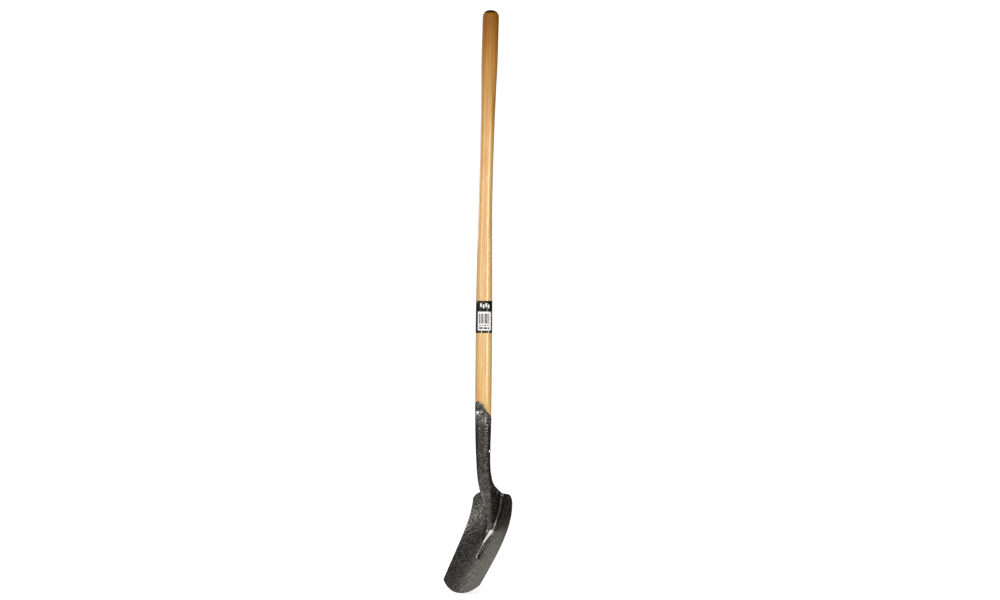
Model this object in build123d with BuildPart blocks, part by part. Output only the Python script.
from build123d import *
import math
import os

os.makedirs("parts", exist_ok=True)

# Post hole digging shovel. Millimetres, +Z up, +Y towards the back of the tool.
# The origin is inside the grip at the top of the handle, on its axis.
# The concave face of the blade, the frog and the tongue of the socket face -Y.

# --- Handle: round, bowed in the YZ plane, straight below the bow
GRIP_LEAN = 1.66          # degrees the grip leans back from the socket axis
GRIP_R = 20.0             # the grip, a true cylinder
GRIP_HALF = 57.0          # that cylinder runs this far below the origin
END_START = 50.8          # the side starts to turn into the domed end here
END_CORNER_R = 16.0       # radius it turns with
END_CORNER_TURN = 65.0    # degrees it turns through before the dome takes over
BOW_TOP = -285.0          # the handle is straight above this height
BOW_BOTTOM = -615.0       # and straight again below this one
AXIS_Y = (BOW_TOP + (BOW_BOTTOM - BOW_TOP) / 2) * math.tan(math.radians(GRIP_LEAN))

# Radius of the handle at equal steps down from the end of the grip
HANDLE_STEP = 60.0
HANDLE_RADII = [
    GRIP_R, 18.6, 17.4, 16.75, 16.35, 16.35, 16.6,
    17.4, 18.4, 19.2, 19.7, 20.0, 20.05, 20.0,
]
HANDLE_END = -GRIP_HALF - (len(HANDLE_RADII) - 1) * HANDLE_STEP
REBATE_END = -940.0       # the full thickness stops inside the socket's mouth
REBATE_R = 19.65
# Straight foot of the handle, turned down to fit the socket: radius, height
HANDLE_FOOT = [
    (18.45, -885.0),
    (18.45, -909.0),
    (18.3, -929.0),
    (18.1, -949.0),
    (17.7, -969.0),
    (17.1, -989.0),
    (16.2, -1009.0),
    (14.9, -1029.0),
    (13.4, -1043.0),
    (10.5, -1046.0),
]

# --- Steel head: one pressing, blade, frog and socket
SHEET = 1.6               # thickness of the steel
SOCKET_TOP = -889.0       # just above the tongue
SIDE = 0.4                # shortest straight side of a neck section

# Neck and frog, from the socket down: height, distance of the centre of the
# rounded front behind the socket axis, half width, length of the straight sides
NECK_STATIONS = [
    (SOCKET_TOP, 0.0, 20.35, SIDE),
    (-909.0, 0.0, 20.3, SIDE),
    (-929.0, 0.0, 20.15, SIDE),
    (-949.0, 0.0, 19.8, SIDE),
    (-969.0, 0.0, 19.35, SIDE),
    (-989.0, 0.0, 18.75, SIDE),
    (-1009.0, 0.2, 18.1, SIDE),
    (-1029.0, 0.8, 17.5, SIDE),
    (-1049.0, 1.8, 17.1, 0.6),
    (-1069.0, 3.7, 16.9, 1.0),
    (-1089.0, 7.0, 17.0, 4.0),
    (-1109.0, 12.6, 17.0, 22.0),
]
FROG_STATIONS = [
    (-1127.0, 18.4, 16.4, 38.0),
    (-1145.0, 22.4, 13.2, 38.0),
    (-1163.0, 25.6, 10.6, 34.0),
    (-1181.0, 26.4, 9.6, 28.0),
    (-1199.0, 28.0, 8.7, 22.0),
    (-1217.0, 35.5, 7.0, 16.0),
]

# Low ridge that carries the frog on down the blade: distance down the blade,
# half width, height above the trough
RIDGE_STATIONS = [
    (52.0, 9.8, 6.4),
    (74.0, 10.4, 7.2),
    (96.0, 8.8, 6.9),
    (118.0, 5.2, 6.0),
    (140.0, 3.4, 5.0),
    (161.0, 2.4, 3.0),
]
RIDGE_HOLLOWS = 4         # ridge stations with room for the hollow inside

# Top edge of the socket seen from the side: distance behind the axis, height
TONGUE_EDGE = [
    (-24.0, -891.2),
    (-20.0, -892.0),
    (-17.0, -894.6),
    (-13.0, -901.5),
    (-11.2, -909.0),
    (-6.2, -916.8),
    (0.0, -921.8),
    (8.5, -928.0),
    (24.0, -934.0),
]

# Back edge of the sheet where the neck opens into the blade, same view
NECK_EDGE = [
    (18.0, -1080.0),
    (18.0, -1094.0),
    (27.0, -1102.0),
    (39.0, -1110.5),
    (51.0, -1116.5),
    (66.0, -1119.0),
]

# Slot up the back of the socket: half width, height
SEAM = [
    (2.0, -915.0),
    (2.0, -985.0),
    (4.0, -1035.0),
    (9.0, -1065.0),
    (11.0, -1080.0),
    (14.3, -1097.0),
    (14.3, -1118.0),
]
SEAM_START = 12.0         # the slot starts this far behind the socket axis

# --- Blade: a trough that curls forwards, described by its centre line
BLADE_TOP_Y = 51.9        # centre line behind the socket axis at the shoulders
BLADE_TOP_Z = -1134.0
TILT_TOP = 2.0            # degrees forwards from straight down, at the shoulders
TILT_TIP = 38.9           # the same at the tip
CURL = 3.7                # how early the blade reaches its final tilt
SIDE_LENGTH = 234.6       # shoulders to the lower corners, along the centre line
TIP_RISE = 26.0           # height of the rounded tip below the corners
HALF_TOP = 67.7           # half widths at the shoulders,
HALF_MIDDLE = 71.0        # half way down
HALF_CORNER = 63.6        # and at the lower corners
DISH_TOP = 18.4           # depth of the trough at the shoulders
DISH_CORNER = 7.6         # and at the lower corners
SHOULDER_RISE = 26.0      # sheet above BLADE_TOP_Z before the shoulders are cut
SHOULDER_Z = -1119.6      # level top edge of the shoulders
SHOULDER_FLAT = 42.0      # half width of that level edge
SHOULDER_BEND = (17.5, 7.0)      # rounded corner outside it: a point it passes through
SHOULDER_FOOT = (27.0, 26.0)     # and where it meets the side, outwards and down
TIP_WASTE = 6.0           # sheet past the tip before it is trimmed
TIP_MARGIN = 1.0          # the trimming arc starts this far outside the corners
TIP_DEPTH = 50.0          # depth of the trimming cut either way
BLADE_STEPS = 10
BEHIND = 40.0             # depth of the cut behind the blade

# --- Fastenings and label
TONGUE_RIVET_Z = -919.5
CROSS_RIVET_Z = -1013.5
CROSS_RIVET_BACK = 7.5    # behind the socket axis
RIVET_HEAD_R = 4.4
RIVET_SINK = 1.2          # centre of the domed head under the surface
SHANK_R = 2.6
TONGUE_SHANK = 30.0       # length of the tongue's rivet into the wood
TONGUE_TAPER = 3.0        # degrees its shank narrows by
CROSS_NECK_R = 18.0       # radius of the neck at the cross rivet
LABEL_TOP = -646.2
LABEL_BOTTOM = -724.6
LABEL_THICK = 0.4
LABEL_HIGH_R = 19.66      # the handle at the label's top edge
LABEL_LOW_R = 20.02       # and at its bottom edge
LABEL_GAP = 3.0           # between the ends of the label at the back

REACH = 200.0             # half length of a cutting prism, clear of everything


def handle_y(z):
    """Y of the handle's centre line at height z."""
    slope = math.tan(math.radians(GRIP_LEAN))
    if z >= BOW_TOP:
        return z * slope
    if z <= BOW_BOTTOM:
        return AXIS_Y
    rest = (z - BOW_BOTTOM) / (BOW_TOP - BOW_BOTTOM)
    return AXIS_Y + rest * (z - BOW_BOTTOM) * slope / 2


def handle_plane(z):
    """Plane across the handle at height z."""
    share = min(1.0, max(0.0, (z - BOW_BOTTOM) / (BOW_TOP - BOW_BOTTOM)))
    lean = math.radians(GRIP_LEAN * share)
    normal = (0, math.sin(lean), math.cos(lean))
    return Plane(origin=(0, handle_y(z), z), x_dir=(1, 0, 0), z_dir=normal)


GRIP_PLANE = handle_plane(0.0)
SOCKET_PLANE = Plane(origin=(0, AXIS_Y, 0), x_dir=(1, 0, 0), z_dir=(0, 0, 1))
SIDE_PLANE = Plane(origin=(0, AXIS_Y, 0), x_dir=(0, 1, 0), z_dir=(1, 0, 0))
FRONT_PLANE = Plane(origin=(0, AXIS_Y, 0), x_dir=(1, 0, 0), z_dir=(0, -1, 0))


def blade_tilt(distance):
    """Tilt of the blade, in radians, at a distance down its centre line."""
    left = 1 - max(0.0, distance) / (SIDE_LENGTH + TIP_RISE)
    share = 1 - max(0.0, left) ** CURL
    return math.radians(TILT_TOP + (TILT_TIP - TILT_TOP) * share)


def blade_plane(distance):
    """Plane across the blade's trough, its Y pointing out of the dish."""
    steps = max(1, round(abs(distance)))
    step = distance / steps
    y = AXIS_Y + BLADE_TOP_Y
    z = BLADE_TOP_Z
    for i in range(steps):
        tilt = blade_tilt((i + 0.5) * step)
        y -= step * math.sin(tilt)
        z -= step * math.cos(tilt)
    tilt = blade_tilt(distance)
    down = (0, -math.sin(tilt), -math.cos(tilt))
    return Plane(origin=(0, y, z), x_dir=(1, 0, 0), z_dir=down)


def blade_half_width(distance):
    """Half width of the blade, a parabola through its three stated widths."""
    u = distance / SIDE_LENGTH
    bulge = HALF_MIDDLE - (HALF_TOP + HALF_CORNER) / 2
    return HALF_TOP + (HALF_CORNER - HALF_TOP) * u + 4 * bulge * u * (1 - u)


def blade_dish(distance):
    """Depth of the trough."""
    u = max(0.0, distance / SIDE_LENGTH)
    return DISH_TOP + (DISH_CORNER - DISH_TOP) * u


# The neck and frog as a filled solid, each section a slot lying front to back
with BuildPart() as neck_filled:
    for z, back, half, side in NECK_STATIONS + FROG_STATIONS:
        with BuildSketch(SOCKET_PLANE.offset(z)):
            with Locations((0, back + side / 2)):
                SlotCenterToCenter(side, 2 * half, rotation=90)
    loft()

# The space inside them, running out past the back of the frog
with BuildPart() as neck_hollow:
    for z, back, half, side in NECK_STATIONS + FROG_STATIONS:
        with BuildSketch(SOCKET_PLANE.offset(z)):
            with Locations((0, back + side / 2)):
                SlotCenterToCenter(side, 2 * (half - SHEET), rotation=90)
    loft()

# The low ridge below the frog, and the space inside it
with BuildPart() as ridge_filled:
    for distance, half, height in RIDGE_STATIONS:
        with BuildSketch(blade_plane(distance)):
            with BuildLine():
                ThreePointArc((-half, -SHEET / 2), (0, height), (half, -SHEET / 2))
                Line((half, -SHEET / 2), (-half, -SHEET / 2))
            make_face()
    loft()
with BuildPart() as ridge_hollow:
    for distance, half, height in RIDGE_STATIONS[:RIDGE_HOLLOWS]:
        inner = half - SHEET
        with BuildSketch(blade_plane(distance)):
            with BuildLine():
                ThreePointArc((-inner, -SHEET / 2), (0, height - SHEET), (inner, -SHEET / 2))
                Line((inner, -SHEET / 2), (inner, -2 * SHEET))
                Line((inner, -2 * SHEET), (-inner, -2 * SHEET))
                Line((-inner, -2 * SHEET), (-inner, -SHEET / 2))
            make_face()
    loft()

# The blade as a sheet, trimmed to its shoulders and rounded tip
with BuildPart() as blade_sheet:
    span = SIDE_LENGTH + TIP_RISE + TIP_WASTE + SHOULDER_RISE
    for i in range(BLADE_STEPS + 1):
        distance = span * i / BLADE_STEPS - SHOULDER_RISE
        half = blade_half_width(distance)
        dish = blade_dish(distance)
        edge = 2 * math.atan2(dish, half)
        out = half + SHEET * math.sin(edge)
        low = dish - SHEET * math.cos(edge)
        with BuildSketch(blade_plane(distance)):
            with BuildLine():
                ThreePointArc((-half, dish), (0, 0), (half, dish))
                Line((half, dish), (out, low))
                ThreePointArc((out, low), (0, -SHEET), (-out, low))
                Line((-out, low), (-half, dish))
            make_face()
    loft()
    tip_half = HALF_CORNER + TIP_MARGIN
    corners = blade_plane(SIDE_LENGTH)
    tip_plane = Plane(origin=corners.origin, x_dir=(1, 0, 0), z_dir=corners.y_dir)
    with BuildSketch(tip_plane):
        with BuildLine():
            ThreePointArc((-tip_half, 0), (0, -TIP_RISE), (tip_half, 0))
            Polyline(
                (tip_half, 0),
                (REACH, 0),
                (REACH, -REACH),
                (-REACH, -REACH),
                (-REACH, 0),
                (-tip_half, 0),
            )
        make_face()
    extrude(amount=TIP_DEPTH, both=True, mode=Mode.SUBTRACT)
    for side in (-1, 1):
        flat_end = (side * SHOULDER_FLAT, SHOULDER_Z)
        bend = (side * (SHOULDER_FLAT + SHOULDER_BEND[0]), SHOULDER_Z - SHOULDER_BEND[1])
        foot = (side * (SHOULDER_FLAT + SHOULDER_FOOT[0]), SHOULDER_Z - SHOULDER_FOOT[1])
        with BuildSketch(FRONT_PLANE):
            with BuildLine():
                ThreePointArc(flat_end, bend, foot)
                Polyline(
                    foot,
                    (side * REACH, foot[1]),
                    (side * REACH, SHOULDER_Z + REACH),
                    (0, SHOULDER_Z + REACH),
                    (0, SHOULDER_Z),
                    flat_end,
                )
            make_face()
        extrude(amount=REACH, both=True, mode=Mode.SUBTRACT)

# Everything behind the blade, which the frog's flanks must not reach
with BuildPart() as behind_blade:
    for i in range(BLADE_STEPS + 1):
        distance = span * i / BLADE_STEPS - SHOULDER_RISE
        half = blade_half_width(distance)
        dish = blade_dish(distance)
        with BuildSketch(blade_plane(distance)):
            with BuildLine():
                ThreePointArc((-half, dish), (0, -SHEET / 2), (half, dish))
                Line((half, dish), (half, -BEHIND))
                Line((half, -BEHIND), (-half, -BEHIND))
                Line((-half, -BEHIND), (-half, dish))
            make_face()
    loft()

# Shanks of the two rivets, which also make their holes
with BuildPart() as tongue_shank:
    with BuildSketch(FRONT_PLANE.offset(NECK_STATIONS[1][2] + RIVET_SINK)):
        with Locations((0, TONGUE_RIVET_Z)):
            Circle(SHANK_R)
    extrude(amount=-TONGUE_SHANK, taper=TONGUE_TAPER)
cross_x = math.sqrt((CROSS_NECK_R - RIVET_SINK) ** 2 - CROSS_RIVET_BACK ** 2)
with BuildPart() as cross_shank:
    with BuildSketch(SIDE_PLANE):
        with Locations((CROSS_RIVET_BACK, CROSS_RIVET_Z)):
            Circle(SHANK_R)
    extrude(amount=cross_x + 2 * RIVET_SINK, both=True)

# The socket as a filled solid, cut to its tongue: it also rebates the wood
with BuildPart() as socket_filled:
    add(neck_filled.part)
    with BuildSketch(SIDE_PLANE):
        with BuildLine():
            Spline(TONGUE_EDGE)
            Polyline(
                TONGUE_EDGE[-1],
                (TONGUE_EDGE[-1][0], SOCKET_TOP + 1),
                (TONGUE_EDGE[0][0], SOCKET_TOP + 1),
                TONGUE_EDGE[0],
            )
        make_face()
    extrude(amount=REACH, both=True, mode=Mode.SUBTRACT)

with BuildPart() as handle:
    # Grip with its rounded end, turned about the grip's own axis
    grip_foot = -GRIP_HALF / math.cos(math.radians(GRIP_LEAN))
    turn = math.radians(END_CORNER_TURN)
    corner_x = GRIP_R - END_CORNER_R
    edge_x = corner_x + END_CORNER_R * math.cos(turn)
    edge_z = END_START + END_CORNER_R * math.sin(turn)
    dome_r = edge_x / math.cos(turn)
    dome_z = edge_z - dome_r * math.sin(turn)
    with BuildSketch(Plane(origin=GRIP_PLANE.origin, x_dir=(1, 0, 0), z_dir=-GRIP_PLANE.y_dir)):
        with BuildLine():
            Line((0, dome_z + dome_r), (0, grip_foot))
            Line((0, grip_foot), (GRIP_R, grip_foot))
            Line((GRIP_R, grip_foot), (GRIP_R, END_START))
            CenterArc((corner_x, END_START), END_CORNER_R, 0, END_CORNER_TURN)
            CenterArc((0, dome_z), dome_r, END_CORNER_TURN, 90 - END_CORNER_TURN)
        make_face()
    revolve(axis=Axis(GRIP_PLANE.origin, GRIP_PLANE.z_dir))
    for i in range(len(HANDLE_RADII)):
        with BuildSketch(handle_plane(-GRIP_HALF - i * HANDLE_STEP)):
            Circle(HANDLE_RADII[i])
    loft()
    for z, radius in ((HANDLE_END, HANDLE_RADII[-1]), (REBATE_END, REBATE_R)):
        with BuildSketch(SOCKET_PLANE.offset(z)):
            Circle(radius)
    loft()
    add(socket_filled.part, mode=Mode.SUBTRACT)
    with BuildSketch(FRONT_PLANE):
        with BuildLine():
            top = (0, HANDLE_FOOT[0][1])
            bottom = (0, HANDLE_FOOT[-1][1])
            Polyline([top] + HANDLE_FOOT + [bottom], close=True)
        make_face()
    revolve(axis=Axis((0, AXIS_Y, 0), (0, 0, 1)))
    add(tongue_shank.part, mode=Mode.SUBTRACT)
    add(cross_shank.part, mode=Mode.SUBTRACT)
handle.part.label = "handle"
export_step(handle.part, "parts/handle.step")

with BuildPart() as head:
    add(socket_filled.part)
    # Back edge of the opening neck
    with BuildSketch(SIDE_PLANE):
        with BuildLine():
            Polyline(NECK_EDGE + [(REACH, NECK_EDGE[-1][1]), (REACH, NECK_EDGE[0][1])], close=True)
        make_face()
    extrude(amount=REACH, both=True, mode=Mode.SUBTRACT)
    add(behind_blade.part, mode=Mode.SUBTRACT)
    add(blade_sheet.part)
    add(ridge_filled.part)
    add(neck_hollow.part, mode=Mode.SUBTRACT)
    add(ridge_hollow.part, mode=Mode.SUBTRACT)
    # Open seam up the back
    with BuildSketch(FRONT_PLANE.offset(-SEAM_START)):
        with BuildLine():
            left = [(-half, z) for half, z in reversed(SEAM)]
            Polyline(SEAM + left, close=True)
        make_face()
    extrude(amount=-REACH, mode=Mode.SUBTRACT)
    add(tongue_shank.part, mode=Mode.SUBTRACT)
    add(cross_shank.part, mode=Mode.SUBTRACT)
head.part.label = "head"
export_step(head.part, "parts/head.step")

with BuildPart() as tongue_rivet:
    with Locations((0, AXIS_Y - NECK_STATIONS[1][2] + RIVET_SINK, TONGUE_RIVET_Z)):
        Sphere(RIVET_HEAD_R)
    add(neck_filled.part, mode=Mode.SUBTRACT)
    add(tongue_shank.part)
tongue_rivet.part.label = "tongue_rivet"
export_step(tongue_rivet.part, "parts/tongue_rivet.step")

with BuildPart() as cross_rivet:
    with Locations(
        (cross_x, AXIS_Y + CROSS_RIVET_BACK, CROSS_RIVET_Z),
        (-cross_x, AXIS_Y + CROSS_RIVET_BACK, CROSS_RIVET_Z),
    ):
        Sphere(RIVET_HEAD_R)
    add(neck_filled.part, mode=Mode.SUBTRACT)
    add(cross_shank.part)
cross_rivet.part.label = "cross_rivet"
export_step(cross_rivet.part, "parts/cross_rivet.step")

# Label: a thin sleeve around the handle, its ends just apart at the back
with BuildPart() as label:
    for z, radius in ((LABEL_BOTTOM, LABEL_LOW_R), (LABEL_TOP, LABEL_HIGH_R)):
        with BuildSketch(SOCKET_PLANE.offset(z)):
            Circle(radius + LABEL_THICK)
    loft()
    with Locations((0, AXIS_Y + 2 * GRIP_R, (LABEL_TOP + LABEL_BOTTOM) / 2)):
        Box(LABEL_GAP, 4 * GRIP_R, 2 * (LABEL_TOP - LABEL_BOTTOM), mode=Mode.SUBTRACT)
    add(handle.part, mode=Mode.SUBTRACT)
label.part.label = "label"
export_step(label.part, "parts/label.step")
